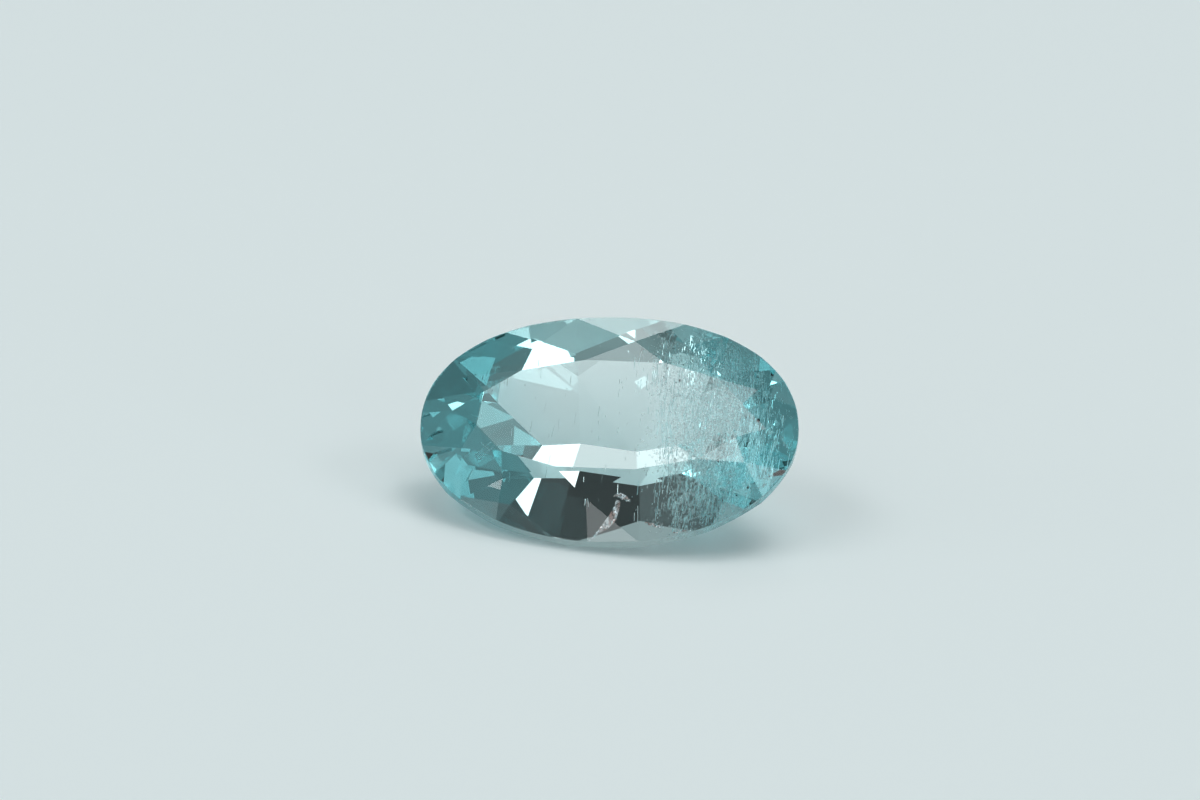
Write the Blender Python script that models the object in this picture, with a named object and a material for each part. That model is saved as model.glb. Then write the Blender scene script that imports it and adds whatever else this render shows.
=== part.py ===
"""A cut oval aquamarine. It lies on one flat of its pavilion, with its table turned up to the front.

The stone is ground as a cutter grinds it: a prism of the girdle's outline first, then one flat cut after
another. Cutting is worked out in millimetres in the stone's own frame, where +X runs along the oval, +Z is
square to the table and the middle of the girdle is at zero. The object is then turned to how it lies.
"""

import math

import bmesh
import bpy
import mathutils
import numpy

# The girdle, the widest band of the stone, in millimetres.
HALF_LENGTH = 10.0
HALF_WIDTH = 6.55
GIRDLE_THICKNESS = 0.80
GIRDLE_SIDES = 96
FRONT_FULLNESS = 2.0
BACK_FULLNESS = 2.2

# The crown, above the girdle. A hand-cut stone, so its mains are turned a little off the oval's axis.
CROWN_HEIGHT = 1.82
CROWN_MAINS = 12
CROWN_TURN_DEGREES = 8.4
TABLE_HALF_LENGTH = 7.05
TABLE_HALF_WIDTH = 3.20
TABLE_FULLNESS = 2.25
STAR_SHARE = 0.35

# The pavilion, below the girdle, which ends in a keel and not in a point.
PAVILION_DEPTH = 6.22
PAVILION_MAINS = 8
PAVILION_TURN_DEGREES = -14.2
KEEL_HALF_LENGTH = 3.60
KEEL_SET_BACK = 0.62
LOWER_GIRDLE_SHARE = 0.55

# Flats that meet within this distance share one corner.
MEET_TOLERANCE = 0.0001
METRES_PER_MILLIMETRE = 0.001

WATER_BLUE = (0.62, 0.86, 0.88, 1.0)
POLISH_ROUGHNESS = 0.02
AQUAMARINE_INDEX = 1.577

FULL_TURN = 2 * math.pi
HALF_GIRDLE = GIRDLE_THICKNESS / 2
TABLE_HEIGHT = HALF_GIRDLE + CROWN_HEIGHT
KEEL_HEIGHT = -HALF_GIRDLE - PAVILION_DEPTH
UP = numpy.array([0.0, 0.0, 1.0])
ALONG = numpy.array([1.0, 0.0, 0.0])


def signed_power(value, power):
    """The power of the size of a value, with the value's own sign."""
    return math.copysign(abs(value) ** power, value)


def unit(vector):
    return vector / numpy.linalg.norm(vector)


def oval_point(turn, half_length, half_width, fullness):
    """A point on an oval. A fullness of 2 is an ellipse, and more than 2 has fuller shoulders."""
    return numpy.array([
        half_length * signed_power(math.cos(turn), 2 / fullness),
        half_width * signed_power(math.sin(turn), 2 / fullness),
    ])


def rim_fullness(turn):
    return BACK_FULLNESS if math.sin(turn) > 0 else FRONT_FULLNESS


def rim_point(turn, height):
    """A point on the girdle's outline."""
    across = oval_point(turn, HALF_LENGTH, HALF_WIDTH, rim_fullness(turn))
    return numpy.append(across, height)


def rim_outward(turn):
    """The direction square to the girdle's outline, in the girdle's plane."""
    fullness = rim_fullness(turn)
    across = rim_point(turn, 0.0)
    return unit(numpy.array([
        signed_power(across[0] / HALF_LENGTH, fullness - 1) / HALF_LENGTH,
        signed_power(across[1] / HALF_WIDTH, fullness - 1) / HALF_WIDTH,
        0.0,
    ]))


def table_corner(turn):
    across = oval_point(turn, TABLE_HALF_LENGTH, TABLE_HALF_WIDTH, TABLE_FULLNESS)
    return numpy.append(across, TABLE_HEIGHT)


def level(height):
    return UP, height


def flat_through(first, second, third):
    """The flat through three corners, facing away from the middle of the stone."""
    normal = unit(numpy.cross(second - first, third - first))
    distance = normal @ first
    if distance < 0:
        return -normal, -distance
    return normal, distance


def main_flat(outward, rim, inner):
    """The flat that runs straight in from the girdle, level along it, to the height of an inner point."""
    run = outward @ (rim - inner)
    rise = inner[2] - rim[2]
    normal = unit(outward * abs(rise) + UP * math.copysign(run, rise))
    return normal, normal @ rim


def meeting_point(first, second, third):
    """The one point where three flats meet."""
    normals = numpy.array([first[0], second[0], third[0]])
    distances = numpy.array([first[1], second[1], third[1]])
    return numpy.linalg.solve(normals, distances)


def turns_of(count, first_degrees=0.0):
    """Even turns round the stone, from the first one on."""
    first = math.radians(first_degrees)
    return [first + FULL_TURN * number / count for number in range(count)]


def point_between(one_main, next_main, from_height, to_height, share):
    """A point part of the way along the edge that two neighbouring mains share."""
    start = meeting_point(one_main, next_main, level(from_height))
    end = meeting_point(one_main, next_main, level(to_height))
    return start + (end - start) * share


def halves_at_girdle(meet, turn, step, height):
    """The two narrow flats that run from a meeting point out to the girdle."""
    middle = rim_point(turn + step / 2, height)
    return [
        flat_through(meet, rim_point(turn, height), middle),
        flat_through(meet, middle, rim_point(turn + step, height)),
    ]


def crown_flats():
    """The table, the mains round it, the stars at its edge and the halves at the girdle."""
    turns = turns_of(CROWN_MAINS, CROWN_TURN_DEGREES)
    step = FULL_TURN / CROWN_MAINS
    mains = [main_flat(rim_outward(turn), rim_point(turn, HALF_GIRDLE), table_corner(turn)) for turn in turns]
    flats = [level(TABLE_HEIGHT)] + mains
    for number, turn in enumerate(turns):
        next_main = mains[(number + 1) % CROWN_MAINS]
        meet = point_between(mains[number], next_main, TABLE_HEIGHT, HALF_GIRDLE, STAR_SHARE)
        flats.append(flat_through(table_corner(turn), table_corner(turn + step), meet))
        flats += halves_at_girdle(meet, turn, step, HALF_GIRDLE)
    return flats


def pavilion_mains():
    """The eight large flats that run from the girdle down to the keel."""
    mains = []
    for turn in turns_of(PAVILION_MAINS, PAVILION_TURN_DEGREES):
        keel_end = numpy.array([math.copysign(KEEL_HALF_LENGTH, math.cos(turn)), KEEL_SET_BACK, KEEL_HEIGHT])
        mains.append(main_flat(rim_outward(turn), rim_point(turn, -HALF_GIRDLE), keel_end))
    return mains


def pavilion_flats():
    """The mains that meet along the keel, and the halves below the girdle."""
    mains = pavilion_mains()
    step = FULL_TURN / PAVILION_MAINS
    flats = list(mains)
    for number, turn in enumerate(turns_of(PAVILION_MAINS, PAVILION_TURN_DEGREES)):
        next_main = mains[(number + 1) % PAVILION_MAINS]
        meet = point_between(mains[number], next_main, -HALF_GIRDLE, KEEL_HEIGHT, LOWER_GIRDLE_SHARE)
        flats += halves_at_girdle(meet, turn, step, -HALF_GIRDLE)
    return flats


def girdle_prism():
    """The rough: an upright prism of the girdle's outline, taller than the finished stone."""
    stone = bmesh.new()
    corners = []
    for turn in turns_of(GIRDLE_SIDES):
        across = rim_point(turn, 2 * KEEL_HEIGHT)
        corners.append(stone.verts.new(across))
    base = stone.faces.new(reversed(corners))
    raised = bmesh.ops.extrude_face_region(stone, geom=[base])
    top = [item for item in raised["geom"] if isinstance(item, bmesh.types.BMVert)]
    rise = 2 * (TABLE_HEIGHT - KEEL_HEIGHT)
    bmesh.ops.translate(stone, verts=top, vec=(0.0, 0.0, rise))
    bmesh.ops.recalc_face_normals(stone, faces=stone.faces[:])
    return stone


def grind(stone, flat):
    """Takes away all that lies outside one flat, and closes the cut with a facet."""
    normal, distance = flat
    whole = stone.verts[:] + stone.edges[:] + stone.faces[:]
    cut = bmesh.ops.bisect_plane(
        stone,
        geom=whole,
        dist=MEET_TOLERANCE,
        plane_co=normal * distance,
        plane_no=normal,
        clear_outer=True,
    )
    open_edges = [item for item in cut["geom_cut"] if isinstance(item, bmesh.types.BMEdge) and item.is_boundary]
    if open_edges:
        bmesh.ops.edgeloop_fill(stone, edges=open_edges)


def crystal_material():
    material = bpy.data.materials.new("aquamarine")
    material.use_nodes = True
    shader = material.node_tree.nodes["Principled BSDF"]
    shader.inputs["Base Color"].default_value = WATER_BLUE
    shader.inputs["Metallic"].default_value = 0.0
    shader.inputs["Roughness"].default_value = POLISH_ROUGHNESS
    shader.inputs["IOR"].default_value = AQUAMARINE_INDEX
    shader.inputs["Transmission Weight"].default_value = 1.0
    return material


def cut_stone():
    """The whole faceted stone, in its own frame, as one object."""
    stone = girdle_prism()
    for flat in crown_flats() + pavilion_flats():
        grind(stone, flat)
    bmesh.ops.recalc_face_normals(stone, faces=stone.faces[:])
    bmesh.ops.scale(stone, vec=(METRES_PER_MILLIMETRE,) * 3, verts=stone.verts[:])
    mesh = bpy.data.meshes.new("aquamarine")
    stone.to_mesh(mesh)
    stone.free()
    mesh.materials.append(crystal_material())
    aquamarine = bpy.data.objects.new("aquamarine", mesh)
    bpy.context.scene.collection.objects.link(aquamarine)
    return aquamarine


def front_main_outward():
    """The outward direction of the pavilion main that faces the front most squarely."""
    outwards = [normal for normal, distance in pavilion_mains()]
    return min(outwards, key=lambda normal: unit(normal[:2])[1])


def lay_on_front_main(aquamarine):
    """Turns the front main straight down, with the oval's length along X, and stands it on the ground."""
    upward = -front_main_outward()
    sideways = unit(ALONG - upward * upward[0])
    backward = numpy.cross(upward, sideways)
    lying = mathutils.Matrix([sideways, backward, upward])
    aquamarine.rotation_euler = lying.to_euler()
    bpy.context.view_layer.update()
    corners = numpy.array([aquamarine.matrix_world @ vertex.co for vertex in aquamarine.data.vertices])
    low = corners.min(axis=0)
    high = corners.max(axis=0)
    aquamarine.location = (-(low[0] + high[0]) / 2, -(low[1] + high[1]) / 2, -low[2])


def main():
    for thing in list(bpy.data.objects):
        bpy.data.objects.remove(thing, do_unlink=True)
    lay_on_front_main(cut_stone())


main()
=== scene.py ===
"""The looks of a cut oval aquamarine that lies on a pale table, seen from a little above its front.

Lengths are in metres. The stone has axes of its own: along its length, across its width and out through its
table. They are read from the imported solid, so everything inside the stone keeps its place in it.
"""

import math

import bpy
import numpy
from mathutils import Euler, Matrix, Vector


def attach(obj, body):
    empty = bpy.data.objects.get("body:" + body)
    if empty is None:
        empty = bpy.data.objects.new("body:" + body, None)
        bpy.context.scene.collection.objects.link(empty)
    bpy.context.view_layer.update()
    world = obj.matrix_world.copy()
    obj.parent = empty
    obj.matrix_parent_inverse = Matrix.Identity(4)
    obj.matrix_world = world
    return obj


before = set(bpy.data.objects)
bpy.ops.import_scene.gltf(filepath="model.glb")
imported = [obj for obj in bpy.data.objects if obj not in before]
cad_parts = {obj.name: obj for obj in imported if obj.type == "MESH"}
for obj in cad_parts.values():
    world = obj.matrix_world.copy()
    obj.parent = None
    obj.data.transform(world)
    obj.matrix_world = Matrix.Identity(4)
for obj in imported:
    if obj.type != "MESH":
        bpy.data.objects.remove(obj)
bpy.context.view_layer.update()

MILLIMETRE = 0.001

# The stone.
TABLE_ABOVE_GIRDLE = 2.22 * MILLIMETRE
HALF_GIRDLE = 0.40 * MILLIMETRE
# Triangles belong to one facet when their normals agree to this many decimals.
FACET_DECIMALS = 3

# The crystal.
CRYSTAL_INDEX = 1.577
# What a metre of the crystal takes out of red, green and blue light.
ABSORBED_PER_METRE = (33.0, 9.5, 8.6)
# The density lies a little above the largest of them, so that no part of its colour falls to zero.
DENSITY_MARGIN = 1.02
# The ends are a deeper colour than the middle: where that begins and is full, and its tint at the surface.
ZONE_START = 2.0 * MILLIMETRE
ZONE_FULL = 7.0 * MILLIMETRE
ZONE_TINT = (0.50, 0.85, 0.90, 1.0)
UNTINTED = (1.0, 1.0, 1.0, 1.0)
# The tint stops at this share of the table's height, so the table is left clear.
TINTED_SHARE = 0.99

# The girdle, which is ground over this share of its height and not polished.
GROUND_SHARE = 0.98
GIRDLE_ROUGHNESS = 0.20
GIRDLE_PITTING = 0.10
PIT_SCALE = 22000.0
PIT_DEPTH = 0.02 * MILLIMETRE

# The photograph's view.
FRAME_WIDTH = 1200
FRAME_HEIGHT = 800
PIXELS_PER_METRE = 18900
STONE_MIDDLE_PIXEL = (609.5, 432)
VIEW_FROM_TABLE_NORMAL = math.radians(25.1)
CAMERA_DISTANCE = 0.290
SENSOR_WIDTH = 36.0
NEAREST_SEEN = 0.01
FARTHEST_SEEN = 20.0

# The table top.
FLOOR_COLOUR = (0.82, 0.905, 0.915, 1.0)
FLOOR_ROUGHNESS = 0.9
FLOOR_GLOSS = 0.1
FLOOR_SIZE = 6.0
FLOOR_GAP = 0.05 * MILLIMETRE

# The light. Each soft box: its name, the way it lies and how high, its width and height, all in degrees,
# and its radiance.
SOFT_BOXES = (
    ("right_behind", 56.5, 67.8, 12.9, 29.6, 2.1),
    ("front_right", 139.0, 71.0, 32.6, 42.3, 0.42),
    ("front_strip", 157.0, 73.5, 29.8, 11.5, 1.5),
    ("top", 16.0, 76.5, 26.9, 31.3, 2.35),
    ("front_left", -128.6, 18.0, 53.4, 50.0, 0.38),
    ("left_behind", -28.0, 54.4, 39.1, 18.5, 0.24),
    ("small_behind", 17.4, 39.8, 9.5, 7.7, 1.9),
    ("right_strip", 103.0, 45.4, 23.6, 9.9, 2.9),
    ("left_strip", -120.0, 49.2, 31.0, 11.1, 4.4),
    ("front_spot", 155.6, 24.6, 11.5, 4.6, 4.4),
    ("behind_strip", -2.3, 46.5, 7.3, 14.9, 3.0),
    ("front_lamp", -178.8, 9.2, 3.5, 3.5, 2.0),
    ("left_lamp", -144.7, 6.3, 13.1, 4.8, 4.0),
    ("right_lamp", 126.7, 14.3, 10.3, 9.4, 2.2),
    ("side_lamp", -107.3, 8.6, 10.4, 8.5, 3.6),
    ("low_behind", 11.9, 28.9, 15.9, 6.6, 0.7),
    ("high_behind", 0.0, 56.0, 10.0, 7.0, 0.55),
    ("high_left", -54.0, 44.0, 9.0, 7.0, 0.7),
)
BOX_DISTANCE = 0.9
# The walls behind, to the right, in front and to the left: low down, and above that.
LOW_WALLS = (0.37, 0.21, 0.33, 0.40)
HIGH_WALLS = (0.025, 0.22, 0.31, 0.27)
# How high the low band goes, in degrees above the table top.
BAND_TOP = 21.6
BAND_SOFTNESS = 1.0
BACKDROP_COLOUR = (0.90, 0.99, 1.0, 1.0)
BACKDROP_BRIGHTNESS = 0.72
# How often the light may turn: in all, through clear faces, off shiny ones, and past what is thin.
TURNS_IN_ALL = 32
TURNS_THROUGH_CRYSTAL = 24
TURNS_OFF_MIRRORS = 8
TURNS_PAST_THIN_THINGS = 32

# What lies inside the stone, in millimetres along its own axes.
SEED = 41
# How far below the surface the inclusions stay.
SKIN = 0.10
# How many times the light has turned before an inclusion counts as a mirror image.
MIRRORED_FROM = 1.5
# The index of a hollow, met from inside the crystal.
HOLLOW_INDEX = 0.634

# The cloud: where it begins, is full, begins to fade and ends along the stone, and what is left of it there.
CLOUD_START = 0.8
CLOUD_FULL = 5.4
CLOUD_FADE = 6.4
CLOUD_END = 9.0
CLOUD_LEFT_AT_END = 0.25
# Of the inclusions that stray out of the cloud, this share is kept.
CLOUD_STRAYS = 0.15
# The part of the stone where it can be, along, across and out.
CLOUD_ALONG = (0.0, 9.8)
CLOUD_ACROSS = (-6.4, 6.4)
CLOUD_OUT = (-2.0, 2.1)
# What it is made of: how many, the streaks they gather round, how far from a streak they spread along, across
# and out, and how deep they stay.
PALE_TUBES = (2900, 150, (0.14, 0.9, 0.28), SKIN)
CLEAR_TUBES = (1200, 120, (0.25, 0.9, 0.5), SKIN)
HAZE_GRAINS = (4200, 110, (0.35, 0.8, 0.5), 2 * SKIN)
DARK_GRAINS = (26, 12, (0.3, 0.5, 0.4), 2 * SKIN)
HAZE_DENSITY = 0.20

# The tubes: the shape of one, and how far they lean and stray from the way they all run.
TUBE_SIDES = 5
TUBE_RADIUS = 0.014
TUBE_BODY = 0.6
TUBE_TAPER = 0.3
TUBE_LEAN = 0.12
TUBE_STRAY = 0.07
# The shortest and the longest of each kind, the thinnest and the thickest, and how much short ones prevail.
PALE_LENGTHS = (0.15, 1.7)
CLEAR_LENGTHS = (0.15, 1.4)
STRAY_LENGTHS = (0.2, 1.2)
TUBE_GIRTHS = (0.5, 1.6)
SHORT_TUBES = 3.2
# The stray tubes of the clear half: how many, how many places are tried for each, and where they can be.
STRAY_TUBES = 70
STRAY_TRIES = 8
STRAY_LOWEST = (-7.0, -3.5, -4.5)
STRAY_HIGHEST = (2.5, 4.5, 2.0)

# The grains: how uneven one is, the smallest and the largest of each kind, and how far they are stretched.
GRAIN_UNEVENNESS = 0.12
HAZE_WIDTHS = (0.05, 0.17)
HAZE_STRETCH = (0.6, 1.6)
DARK_WIDTHS = (0.06, 0.17)
DARK_STRETCH = (0.6, 1.4)

# Lone marks, each from one end to the other: scratches where the crown is worn, and wisps near the front.
MARK_GIRTH = 1.3
LONE_MARKS = (
    ((-7.31, -2.27, 1.42), (-5.90, -1.31, 2.12)),
    ((-7.10, -2.49, 1.40), (-5.69, -1.49, 2.12)),
    ((-7.22, -2.40, 1.40), (-6.10, -1.62, 2.00)),
    ((-6.89, -1.37, 1.90), (-6.15, -2.07, 1.94)),
    ((-7.68, -2.12, 1.32), (-7.31, -1.90, 1.55)),
    ((1.47, -4.44, 1.17), (1.47, -5.82, 0.42)),
    ((1.30, -4.90, 0.90), (1.28, -5.55, 0.55)),
    ((-1.18, -4.28, 1.35), (-1.08, -4.92, 1.00)),
    ((-1.25, -4.32, 1.30), (-1.30, -4.80, 1.02)),
)

# Cracks under the crown's front: places along each one, with half its width there.
CRACKS = (
    ("long_crack", (
        (-1.03, -6.38, 0.30, 0.02), (-0.82, -6.20, 0.41, 0.03), (-0.60, -6.02, 0.53, 0.05),
        (-0.45, -5.90, 0.58, 0.13), (-0.19, -5.68, 0.66, 0.20), (0.17, -5.28, 0.86, 0.22),
        (0.38, -4.85, 1.08, 0.17), (0.46, -4.52, 1.25, 0.12),
    )),
    ("curled_crack", (
        (0.20, -4.36, 1.40, 0.04), (0.36, -4.28, 1.43, 0.10), (0.52, -4.27, 1.42, 0.12),
        (0.74, -4.36, 1.34, 0.13), (0.92, -4.45, 1.27, 0.10), (1.06, -4.53, 1.22, 0.05),
    )),
    ("front_crack", (
        (1.85, -5.50, 0.72, 0.03), (2.10, -5.60, 0.65, 0.07), (2.36, -5.66, 0.59, 0.06),
        (2.83, -5.73, 0.49, 0.03),
    )),
    ("corner_crack", (
        (3.31, -5.95, 0.34, 0.03), (3.50, -5.92, 0.34, 0.05), (3.68, -5.89, 0.33, 0.05),
        (4.03, -5.83, 0.32, 0.02),
    )),
)
# A crack faces out and a little to the front.
CRACK_FACES_OUT = 0.88
CRACK_FACES_FRONT = 0.48
CRACK_CUTS = 3
CRACK_CRINKLE = 0.05
CRACK_GAP = 0.012
STAIN_SCALE = 2600.0
STAIN_EDGES = (0.42, 0.58)


def unit(vector):
    return Vector(vector).normalized()


def facets_of(mesh):
    """The flat facets of a mesh of loose triangles: the normal and the centre of each, largest first."""
    groups = {}
    for face in mesh.polygons:
        key = tuple(round(value, FACET_DECIMALS) for value in face.normal)
        area, moment = groups.get(key, (0.0, Vector()))
        groups[key] = (area + face.area, moment + face.center * face.area)
    largest_first = sorted(groups.items(), key=lambda group: -group[1][0])
    return [(unit(key), moment / area) for key, (area, moment) in largest_first]


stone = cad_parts["aquamarine"]
facets = facets_of(stone.data)
OUT, table_centre = facets[0]
ALONG = unit(Vector((0.0, 1.0, 0.0)).cross(OUT))
ACROSS = OUT.cross(ALONG)
GIRDLE_CENTRE = table_centre - OUT * TABLE_ABOVE_GIRDLE
FACET_NORMALS = numpy.array([tuple(normal) for normal, centre in facets])
FACET_REACHES = numpy.array([normal.dot(centre) for normal, centre in facets])


def at(along, across, out):
    """A place in the stone, in millimetres along its own axes from the middle of the girdle."""
    return GIRDLE_CENTRE + (ALONG * along + ACROSS * across + OUT * out) * MILLIMETRE


def inside(places, depth):
    """Which of the places lie at least that deep inside the stone."""
    return (places @ FACET_NORMALS.T < FACET_REACHES - depth).all(axis=1)


def calculate(tree, operation, first, second=0.0):
    """The result of a Math node. Each value is a number or a socket."""
    node = tree.nodes.new("ShaderNodeMath")
    node.operation = operation
    for socket, value in zip(node.inputs, (first, second)):
        if isinstance(value, bpy.types.NodeSocket):
            tree.links.new(value, socket)
        else:
            socket.default_value = value
    return node.outputs["Value"]


def mixed(tree, factor, first, second):
    """The first value where the factor is 0 and the second where it is 1. Each is a number or a socket."""
    mix = tree.nodes.new("ShaderNodeMix")
    for name, value in (("Factor", factor), ("A", first), ("B", second)):
        if isinstance(value, bpy.types.NodeSocket):
            tree.links.new(value, mix.inputs[name])
        else:
            mix.inputs[name].default_value = value
    return mix.outputs["Result"]


def eased(tree, value, start, full):
    """A smooth rise from 0 at the start to 1 where it is full."""
    rise = tree.nodes.new("ShaderNodeMapRange")
    rise.interpolation_type = "SMOOTHSTEP"
    rise.inputs["From Min"].default_value = start
    rise.inputs["From Max"].default_value = full
    tree.links.new(value, rise.inputs["Value"])
    return rise.outputs["Result"]


def new_material(name):
    material = bpy.data.materials.new(name)
    material.use_nodes = True
    return material


def shader_of(material):
    return material.node_tree.nodes["Principled BSDF"]


def plain_material(name, colour, roughness, see_through, index, metallic=0.0):
    material = new_material(name)
    shader = shader_of(material)
    shader.inputs["Base Color"].default_value = (*colour, 1.0)
    shader.inputs["Roughness"].default_value = roughness
    shader.inputs["IOR"].default_value = index
    shader.inputs["Transmission Weight"].default_value = see_through
    shader.inputs["Metallic"].default_value = metallic
    return material


def surface_noise(tree, scale):
    """Noise that keeps its place on the piece."""
    place = tree.nodes.new("ShaderNodeTexCoord")
    noise = tree.nodes.new("ShaderNodeTexNoise")
    noise.inputs["Scale"].default_value = scale
    tree.links.new(place.outputs["Object"], noise.inputs["Vector"])
    return noise.outputs["Fac"]


def distance_from_girdle(tree, axis):
    """How far the surface lies from the middle of the girdle, along one of the stone's axes."""
    place = tree.nodes.new("ShaderNodeTexCoord")
    along_axis = tree.nodes.new("ShaderNodeVectorMath")
    along_axis.operation = "DOT_PRODUCT"
    along_axis.inputs[1].default_value = axis
    tree.links.new(place.outputs["Object"], along_axis.inputs[0])
    return calculate(tree, "SUBTRACT", along_axis.outputs["Value"], axis.dot(GIRDLE_CENTRE))


def end_tint(tree, height):
    """Clear in the middle and on the table, and tinted more and more towards both ends."""
    from_middle = calculate(tree, "ABSOLUTE", distance_from_girdle(tree, ALONG))
    zone = eased(tree, from_middle, ZONE_START, ZONE_FULL)
    below_table = calculate(tree, "LESS_THAN", height, TABLE_ABOVE_GIRDLE * TINTED_SHARE)
    tint = tree.nodes.new("ShaderNodeMix")
    tint.data_type = "RGBA"
    clear, tinted = [socket for socket in tint.inputs if socket.type == "RGBA"]
    clear.default_value = UNTINTED
    tinted.default_value = ZONE_TINT
    tree.links.new(calculate(tree, "MULTIPLY", zone, below_table), tint.inputs["Factor"])
    return [socket for socket in tint.outputs if socket.type == "RGBA"][0]


def add_absorption(tree):
    """The crystal's colour, which deepens with the length of the light's way through it."""
    density = max(ABSORBED_PER_METRE) * DENSITY_MARGIN
    kept = [1 - share / density for share in ABSORBED_PER_METRE]
    absorption = tree.nodes.new("ShaderNodeVolumeAbsorption")
    absorption.inputs["Color"].default_value = (*kept, 1.0)
    absorption.inputs["Density"].default_value = density
    tree.links.new(absorption.outputs["Volume"], tree.nodes["Material Output"].inputs["Volume"])


def crystal_material():
    """Clear polished beryl, ground and not polished round its girdle."""
    material = new_material("polished aquamarine")
    tree = material.node_tree
    shader = shader_of(material)
    height = distance_from_girdle(tree, OUT)
    on_girdle = calculate(tree, "LESS_THAN", calculate(tree, "ABSOLUTE", height), HALF_GIRDLE * GROUND_SHARE)
    tree.links.new(calculate(tree, "MULTIPLY", on_girdle, GIRDLE_ROUGHNESS), shader.inputs["Roughness"])
    bump = tree.nodes.new("ShaderNodeBump")
    bump.inputs["Strength"].default_value = GIRDLE_PITTING
    bump.inputs["Distance"].default_value = PIT_DEPTH
    pits = calculate(tree, "MULTIPLY", surface_noise(tree, PIT_SCALE), on_girdle)
    tree.links.new(pits, bump.inputs["Height"])
    tree.links.new(bump.outputs["Normal"], shader.inputs["Normal"])
    tree.links.new(end_tint(tree, height), shader.inputs["Base Color"])
    shader.inputs["IOR"].default_value = CRYSTAL_INDEX
    shader.inputs["Transmission Weight"].default_value = 1.0
    add_absorption(tree)
    return material


def dress(piece, material):
    piece.data.materials.clear()
    piece.data.materials.append(material)


dress(stone, crystal_material())


def cloud_share(along):
    """How thick the cloud is along the stone: nothing at the left, and thickest right of the middle."""
    share = numpy.clip((along - CLOUD_START) / (CLOUD_FULL - CLOUD_START), 0.0, 1.0)
    thinned = numpy.clip((along - CLOUD_FADE) / (CLOUD_END - CLOUD_FADE), 0.0, 1.0)
    return share * share * (3 - 2 * share) * (1 - (1 - CLOUD_LEFT_AT_END) * thinned)


def cloud_places(rule, count, streaks, spread, depth):
    """Seeded places inside the stone: they gather round streaks that run across it, thicker to the right."""
    axes = numpy.array([tuple(ALONG), tuple(ACROSS), tuple(OUT)])
    found = []
    while sum(len(part) for part in found) < count:
        middles = numpy.column_stack([
            rule.uniform(*CLOUD_ALONG, streaks),
            rule.uniform(*CLOUD_ACROSS, streaks),
            rule.uniform(*CLOUD_OUT, streaks),
        ])
        middles = middles[rule.random(streaks) < cloud_share(middles[:, 0])]
        chosen = middles[rule.integers(0, len(middles), count)]
        own = chosen + rule.normal(size=(count, 3)) * numpy.array(spread)
        own = own[rule.random(count) < CLOUD_STRAYS + (1 - CLOUD_STRAYS) * cloud_share(own[:, 0])]
        places = numpy.array(tuple(GIRDLE_CENTRE)) + own @ axes * MILLIMETRE
        found.append(places[inside(places, depth * MILLIMETRE)])
    return numpy.concatenate(found)[:count]


def stray_places(rule, count):
    """Seeded places all through the clear left half of the stone."""
    own = rule.uniform(STRAY_LOWEST, STRAY_HIGHEST, (count * STRAY_TRIES, 3))
    places = numpy.array([tuple(at(*place)) for place in own])
    return places[inside(places, SKIN * MILLIMETRE)][:count]


def model_tube():
    """One growth tube, a millimetre long along X, drawn out to a point at both ends."""
    bpy.ops.object.select_all(action="DESELECT")
    bpy.ops.mesh.primitive_cylinder_add(
        vertices=TUBE_SIDES,
        radius=TUBE_RADIUS * MILLIMETRE,
        depth=TUBE_BODY * MILLIMETRE,
        end_fill_type="NOTHING",
        rotation=(0.0, math.pi / 2, 0.0),
    )
    tube = bpy.context.object
    bpy.ops.object.transform_apply(location=True, rotation=True, scale=True)
    bpy.ops.object.mode_set(mode="EDIT")
    bpy.ops.mesh.select_all(action="DESELECT")
    bpy.ops.mesh.select_non_manifold()
    bpy.ops.mesh.extrude_region_move()
    drawn_out = (1 / TUBE_BODY, TUBE_TAPER, TUBE_TAPER)
    bpy.ops.transform.resize(value=drawn_out, center_override=(0.0, 0.0, 0.0))
    bpy.ops.mesh.merge(type="COLLAPSE")
    bpy.ops.mesh.select_all(action="SELECT")
    bpy.ops.mesh.normals_make_consistent(inside=False)
    bpy.ops.object.mode_set(mode="OBJECT")
    return tube


def model_grain():
    """One small grain, a millimetre across, with uneven faces."""
    bpy.ops.object.select_all(action="DESELECT")
    bpy.ops.mesh.primitive_ico_sphere_add(subdivisions=1, radius=MILLIMETRE / 2)
    grain = bpy.context.object
    bpy.ops.object.mode_set(mode="EDIT")
    bpy.ops.mesh.select_all(action="SELECT")
    bpy.ops.transform.vertex_random(offset=GRAIN_UNEVENNESS * MILLIMETRE, seed=SEED)
    bpy.ops.mesh.normals_make_consistent(inside=False)
    bpy.ops.object.mode_set(mode="OBJECT")
    return grain


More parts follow.
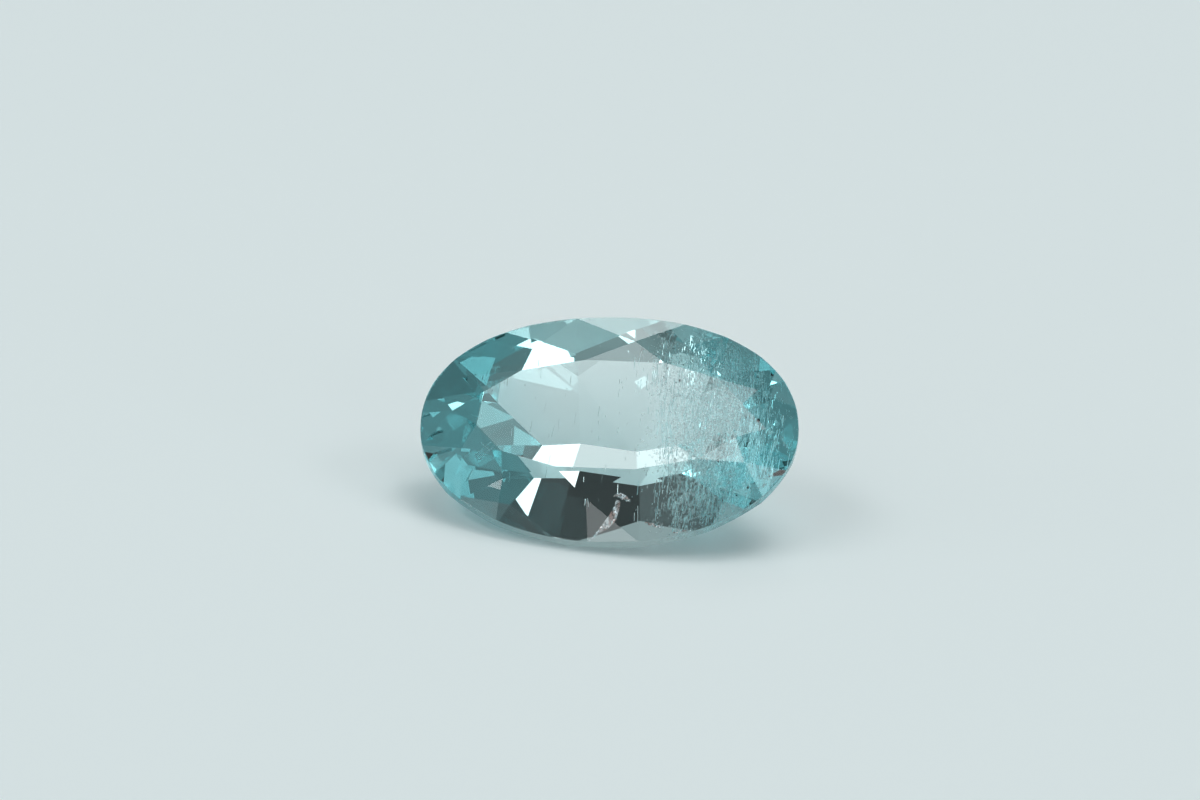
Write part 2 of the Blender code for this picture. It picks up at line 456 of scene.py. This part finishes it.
def copying_nodes(name, model):
    """Nodes that put a copy of the model on each point, at the turn and the size that the point holds."""
    tree = bpy.data.node_groups.new(name + " copies", "GeometryNodeTree")
    tree.interface.new_socket(name="Geometry", in_out="INPUT", socket_type="NodeSocketGeometry")
    tree.interface.new_socket(name="Geometry", in_out="OUTPUT", socket_type="NodeSocketGeometry")
    start = tree.nodes.new("NodeGroupInput")
    end = tree.nodes.new("NodeGroupOutput")
    source = tree.nodes.new("GeometryNodeObjectInfo")
    source.inputs["Object"].default_value = model
    copies = tree.nodes.new("GeometryNodeInstanceOnPoints")
    turned = tree.nodes.new("FunctionNodeEulerToRotation")
    real = tree.nodes.new("GeometryNodeRealizeInstances")
    for label, socket in (("turn", turned.inputs["Euler"]), ("size", copies.inputs["Scale"])):
        read = tree.nodes.new("GeometryNodeInputNamedAttribute")
        read.data_type = "FLOAT_VECTOR"
        read.inputs["Name"].default_value = label
        tree.links.new(read.outputs["Attribute"], socket)
    tree.links.new(start.outputs["Geometry"], copies.inputs["Points"])
    tree.links.new(source.outputs["Geometry"], copies.inputs["Instance"])
    tree.links.new(turned.outputs["Rotation"], copies.inputs["Rotation"])
    tree.links.new(copies.outputs["Instances"], real.inputs["Geometry"])
    tree.links.new(real.outputs["Geometry"], end.inputs["Geometry"])
    return tree


def scatter(name, model, places, turns, sizes, material):
    """Copies of a model, joined in one mesh, each at its own place, turn and size."""
    mesh = bpy.data.meshes.new(name)
    mesh.from_pydata([tuple(place) for place in places], [], [])
    for label, values in (("turn", turns), ("size", sizes)):
        attribute = mesh.attributes.new(label, "FLOAT_VECTOR", "POINT")
        attribute.data.foreach_set("vector", numpy.asarray(values, dtype=numpy.float32).ravel())
    piece = bpy.data.objects.new(name, mesh)
    bpy.context.scene.collection.objects.link(piece)
    copies = piece.modifiers.new("copies", "NODES")
    copies.node_group = copying_nodes(name, model)
    bpy.ops.object.select_all(action="DESELECT")
    piece.select_set(True)
    bpy.context.view_layer.objects.active = piece
    bpy.ops.object.modifier_apply(modifier=copies.name)
    dress(piece, material)
    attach(piece, "root")


def tube_turns(rule, count):
    """The tubes all run one way, across the stone, and lean a little to its right."""
    turns = []
    for number in range(count):
        stray = rule.normal(size=3) * TUBE_STRAY
        way = ACROSS + ALONG * (TUBE_LEAN + stray[0]) + OUT * stray[1]
        turns.append(tuple(way.to_track_quat("X", "Z").to_euler()))
    return numpy.array(turns)


def tube_sizes(rule, count, shortest, longest):
    """Most tubes are short, and a few are long."""
    length = shortest + (longest - shortest) * rule.random(count) ** SHORT_TUBES
    girth = rule.uniform(*TUBE_GIRTHS, count)
    return numpy.column_stack([length, girth, girth])


def tubes_inside(places, turns, sizes):
    """Which tubes lie inside the stone from end to end."""
    ways = numpy.array([tuple(Euler(turn).to_matrix().col[0]) for turn in turns])
    halves = ways * sizes[:, :1] * MILLIMETRE / 2
    depth = SKIN * MILLIMETRE / 2
    return inside(places + halves, depth) & inside(places - halves, depth)


def scatter_tubes(name, tube, rule, places, lengths, material):
    """Tubes at the given places, without those that would stick out of the stone."""
    turns = tube_turns(rule, len(places))
    sizes = tube_sizes(rule, len(places), *lengths)
    whole = tubes_inside(places, turns, sizes)
    scatter(name, tube, places[whole], turns[whole], sizes[whole], material)


def scatter_grains(name, grain, rule, places, widths, stretch, material):
    """Grains at the given places, each stretched its own way and turned at random."""
    across = rule.uniform(*widths, (len(places), 1))
    sizes = across * rule.uniform(*stretch, (len(places), 3))
    turns = rule.uniform(-math.pi, math.pi, (len(places), 3))
    scatter(name, grain, places, turns, sizes, material)


def scatter_marks(name, tube, material):
    """A tube for each lone mark, from one end of it to the other."""
    places, turns, sizes = [], [], []
    for start, end in LONE_MARKS:
        first, last = at(*start), at(*end)
        places.append(tuple((first + last) / 2))
        turns.append(tuple((last - first).to_track_quat("X", "Z").to_euler()))
        sizes.append(((last - first).length / MILLIMETRE, MARK_GIRTH, MARK_GIRTH))
    scatter(name, tube, places, turns, sizes, material)


def model_crack(name, path, material):
    """A crinkled flat crack, drawn out edge by edge along its path and given its thin gap."""
    places = [at(*point[:3]) for point in path]
    halves = [point[3] * MILLIMETRE for point in path]
    facing = unit(OUT * CRACK_FACES_OUT - ACROSS * CRACK_FACES_FRONT)
    side = unit(facing.cross(places[-1] - places[0]))
    bpy.ops.object.select_all(action="DESELECT")
    bpy.ops.mesh.primitive_plane_add(size=MILLIMETRE)
    crack = bpy.context.object
    crack.name = name
    bpy.ops.object.mode_set(mode="EDIT")
    bpy.ops.mesh.select_all(action="SELECT")
    bpy.ops.mesh.merge(type="CENTER")
    bpy.ops.transform.translate(value=places[0] - side * halves[0])
    bpy.ops.mesh.extrude_vertices_move(TRANSFORM_OT_translate={"value": side * halves[0] * 2})
    bpy.ops.mesh.select_all(action="SELECT")
    for number in range(1, len(path)):
        step = places[number] - places[number - 1]
        bpy.ops.mesh.extrude_region_move(TRANSFORM_OT_translate={"value": step})
        share = halves[number] / halves[number - 1]
        bpy.ops.transform.resize(value=(share, share, share), center_override=places[number])
    bpy.ops.mesh.select_all(action="SELECT")
    bpy.ops.mesh.subdivide(number_cuts=CRACK_CUTS)
    bpy.ops.transform.vertex_random(offset=CRACK_CRINKLE * MILLIMETRE, seed=SEED)
    bpy.ops.mesh.normals_make_consistent(inside=False)
    bpy.ops.object.mode_set(mode="OBJECT")
    gap = crack.modifiers.new("gap", "SOLIDIFY")
    gap.thickness = CRACK_GAP * MILLIMETRE
    gap.offset = 0.0
    bpy.ops.object.modifier_apply(modifier=gap.name)
    dress(crack, material)
    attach(crack, "root")


def show_directly(material, density=1.0):
    """Shows a small inclusion where it lies, and not in the many mirror images between the facets."""
    tree = material.node_tree
    path = tree.nodes.new("ShaderNodeLightPath")
    shown = calculate(tree, "LESS_THAN", path.outputs["Ray Depth"], MIRRORED_FROM)
    tree.links.new(calculate(tree, "MULTIPLY", shown, density), shader_of(material).inputs["Alpha"])


def stain(material, patches, base):
    """Uneven colour: patches of one over the other."""
    tree = material.node_tree
    ramp = tree.nodes.new("ShaderNodeValToRGB")
    for element, edge, colour in zip(ramp.color_ramp.elements, STAIN_EDGES, (patches, base)):
        element.position = edge
        element.color = (*colour, 1.0)
    tree.links.new(surface_noise(tree, STAIN_SCALE), ramp.inputs["Fac"])
    tree.links.new(ramp.outputs["Color"], shader_of(material).inputs["Base Color"])


def make_inclusions():
    rule = numpy.random.default_rng(SEED)
    tube = model_tube()
    grain = model_grain()
    pale = plain_material(
        "pale growth tubes",
        colour=(0.86, 0.98, 0.99), roughness=0.28, see_through=0.0, index=1.25, metallic=0.7,
    )
    clear = plain_material(
        "hollow growth tubes",
        colour=(1.0, 1.0, 1.0), roughness=0.08, see_through=1.0, index=HOLLOW_INDEX,
    )
    haze = plain_material(
        "pale haze",
        colour=(0.88, 0.99, 1.0), roughness=0.5, see_through=0.15, index=1.25,
    )
    dark = plain_material(
        "dark grains",
        colour=(0.035, 0.03, 0.03), roughness=0.4, see_through=0.0, index=1.5,
    )
    crack = plain_material(
        "open crack",
        colour=(1.0, 1.0, 1.0), roughness=0.15, see_through=1.0, index=HOLLOW_INDEX, metallic=0.5,
    )
    stain(crack, patches=(0.62, 0.45, 0.42), base=(0.93, 0.97, 1.0))
    for material in (pale, clear, dark):
        show_directly(material)
    show_directly(haze, HAZE_DENSITY)

    places = cloud_places(rule, *PALE_TUBES)
    scatter_tubes("pale_tubes", tube, rule, places, PALE_LENGTHS, pale)
    places = cloud_places(rule, *CLEAR_TUBES)
    scatter_tubes("clear_tubes", tube, rule, places, CLEAR_LENGTHS, clear)
    places = stray_places(rule, STRAY_TUBES)
    scatter_tubes("stray_tubes", tube, rule, places, STRAY_LENGTHS, clear)
    scatter_marks("lone_marks", tube, pale)
    places = cloud_places(rule, *HAZE_GRAINS)
    scatter_grains("haze_grains", grain, rule, places, HAZE_WIDTHS, HAZE_STRETCH, haze)
    places = cloud_places(rule, *DARK_GRAINS)
    scatter_grains("dark_grains", grain, rule, places, DARK_WIDTHS, DARK_STRETCH, dark)
    for name, path in CRACKS:
        model_crack(name, path, crack)
    for model in (tube, grain):
        bpy.data.objects.remove(model, do_unlink=True)


make_inclusions()


def floor_material():
    material = new_material("pale table top")
    shader = shader_of(material)
    shader.inputs["Base Color"].default_value = FLOOR_COLOUR
    shader.inputs["Roughness"].default_value = FLOOR_ROUGHNESS
    shader.inputs["Specular IOR Level"].default_value = FLOOR_GLOSS
    return material


def make_floor():
    bpy.ops.object.select_all(action="DESELECT")
    bpy.ops.mesh.primitive_plane_add(size=FLOOR_SIZE, location=(0.0, 0.0, -FLOOR_GAP))
    floor = bpy.context.object
    floor.name = "table_top"
    bpy.ops.object.transform_apply(location=True, rotation=True, scale=True)
    dress(floor, floor_material())


def make_camera():
    """The camera stands where the photograph's did, and the stone fills the same part of the frame."""
    data = bpy.data.cameras.new("camera")
    data.sensor_width = SENSOR_WIDTH
    data.lens = SENSOR_WIDTH * PIXELS_PER_METRE * CAMERA_DISTANCE / FRAME_WIDTH
    data.clip_start = NEAREST_SEEN
    data.clip_end = FARTHEST_SEEN
    camera = bpy.data.objects.new("camera", data)
    bpy.context.scene.collection.objects.link(camera)
    away = OUT * math.cos(VIEW_FROM_TABLE_NORMAL) - ACROSS * math.sin(VIEW_FROM_TABLE_NORMAL)
    right = ALONG
    up = away.cross(right)
    shift_right = (STONE_MIDDLE_PIXEL[0] - FRAME_WIDTH / 2) / PIXELS_PER_METRE
    shift_down = (STONE_MIDDLE_PIXEL[1] - FRAME_HEIGHT / 2) / PIXELS_PER_METRE
    place = GIRDLE_CENTRE + away * CAMERA_DISTANCE - right * shift_right + up * shift_down
    turn = Matrix((right, up, away)).transposed()
    camera.matrix_world = Matrix.Translation(place) @ turn.to_4x4()
    bpy.context.scene.camera = camera


def direction(azimuth, elevation):
    """Azimuth 0 is straight behind the stone and 90 is to its right."""
    a, e = math.radians(azimuth), math.radians(elevation)
    return Vector((math.sin(a) * math.cos(e), math.cos(a) * math.cos(e), math.sin(e)))


def soft_box(name, azimuth, elevation, width, height, radiance):
    """A rectangular light that faces the stone and fills that many degrees, as bright as its radiance says."""
    data = bpy.data.lights.new(name, "AREA")
    data.shape = "RECTANGLE"
    data.size = 2 * BOX_DISTANCE * math.tan(math.radians(width / 2))
    data.size_y = 2 * BOX_DISTANCE * math.tan(math.radians(height / 2))
    data.energy = radiance * data.size * data.size_y * math.pi
    light = bpy.data.objects.new(name, data)
    bpy.context.scene.collection.objects.link(light)
    away = direction(azimuth, elevation)
    light.location = away * BOX_DISTANCE
    light.rotation_euler = away.to_track_quat("Z", "Y").to_euler()


def make_room():
    """Walls of the studio: a low band and the part above it, each with its own brightness on four sides."""
    world = bpy.data.worlds.new("studio")
    bpy.context.scene.world = world
    world.use_nodes = True
    tree = world.node_tree
    toward = tree.nodes.new("ShaderNodeTexCoord")
    split = tree.nodes.new("ShaderNodeSeparateXYZ")
    tree.links.new(toward.outputs["Generated"], split.inputs["Vector"])
    sideways, backward, upward = split.outputs
    is_right = calculate(tree, "GREATER_THAN", sideways)
    is_back = calculate(tree, "GREATER_THAN", backward)
    squares = [
        calculate(tree, "POWER", calculate(tree, "ABSOLUTE", value), 2.0) for value in (sideways, backward)
    ]
    back_share = calculate(tree, "DIVIDE", squares[1], calculate(tree, "ADD", *squares))
    heights = []
    for back, right, front, left in (LOW_WALLS, HIGH_WALLS):
        side = mixed(tree, is_right, left, right)
        end = mixed(tree, is_back, front, back)
        heights.append(mixed(tree, back_share, side, end))
    band_foot = math.sin(math.radians(BAND_TOP - BAND_SOFTNESS))
    band_head = math.sin(math.radians(BAND_TOP + BAND_SOFTNESS))
    brightness = mixed(tree, eased(tree, upward, band_foot, band_head), *heights)
    path = tree.nodes.new("ShaderNodeLightPath")
    shown = mixed(tree, path.outputs["Is Camera Ray"], brightness, BACKDROP_BRIGHTNESS)
    background = tree.nodes["Background"]
    background.inputs["Color"].default_value = BACKDROP_COLOUR
    tree.links.new(shown, background.inputs["Strength"])


def make_light():
    make_room()
    for box in SOFT_BOXES:
        soft_box(*box)


make_floor()
make_camera()
make_light()

scene = bpy.context.scene
scene.view_settings.view_transform = "Standard"
scene.cycles.max_bounces = TURNS_IN_ALL
scene.cycles.transmission_bounces = TURNS_THROUGH_CRYSTAL
scene.cycles.glossy_bounces = TURNS_OFF_MIRRORS
scene.cycles.transparent_max_bounces = TURNS_PAST_THIN_THINGS
scene.cycles.use_denoising = True
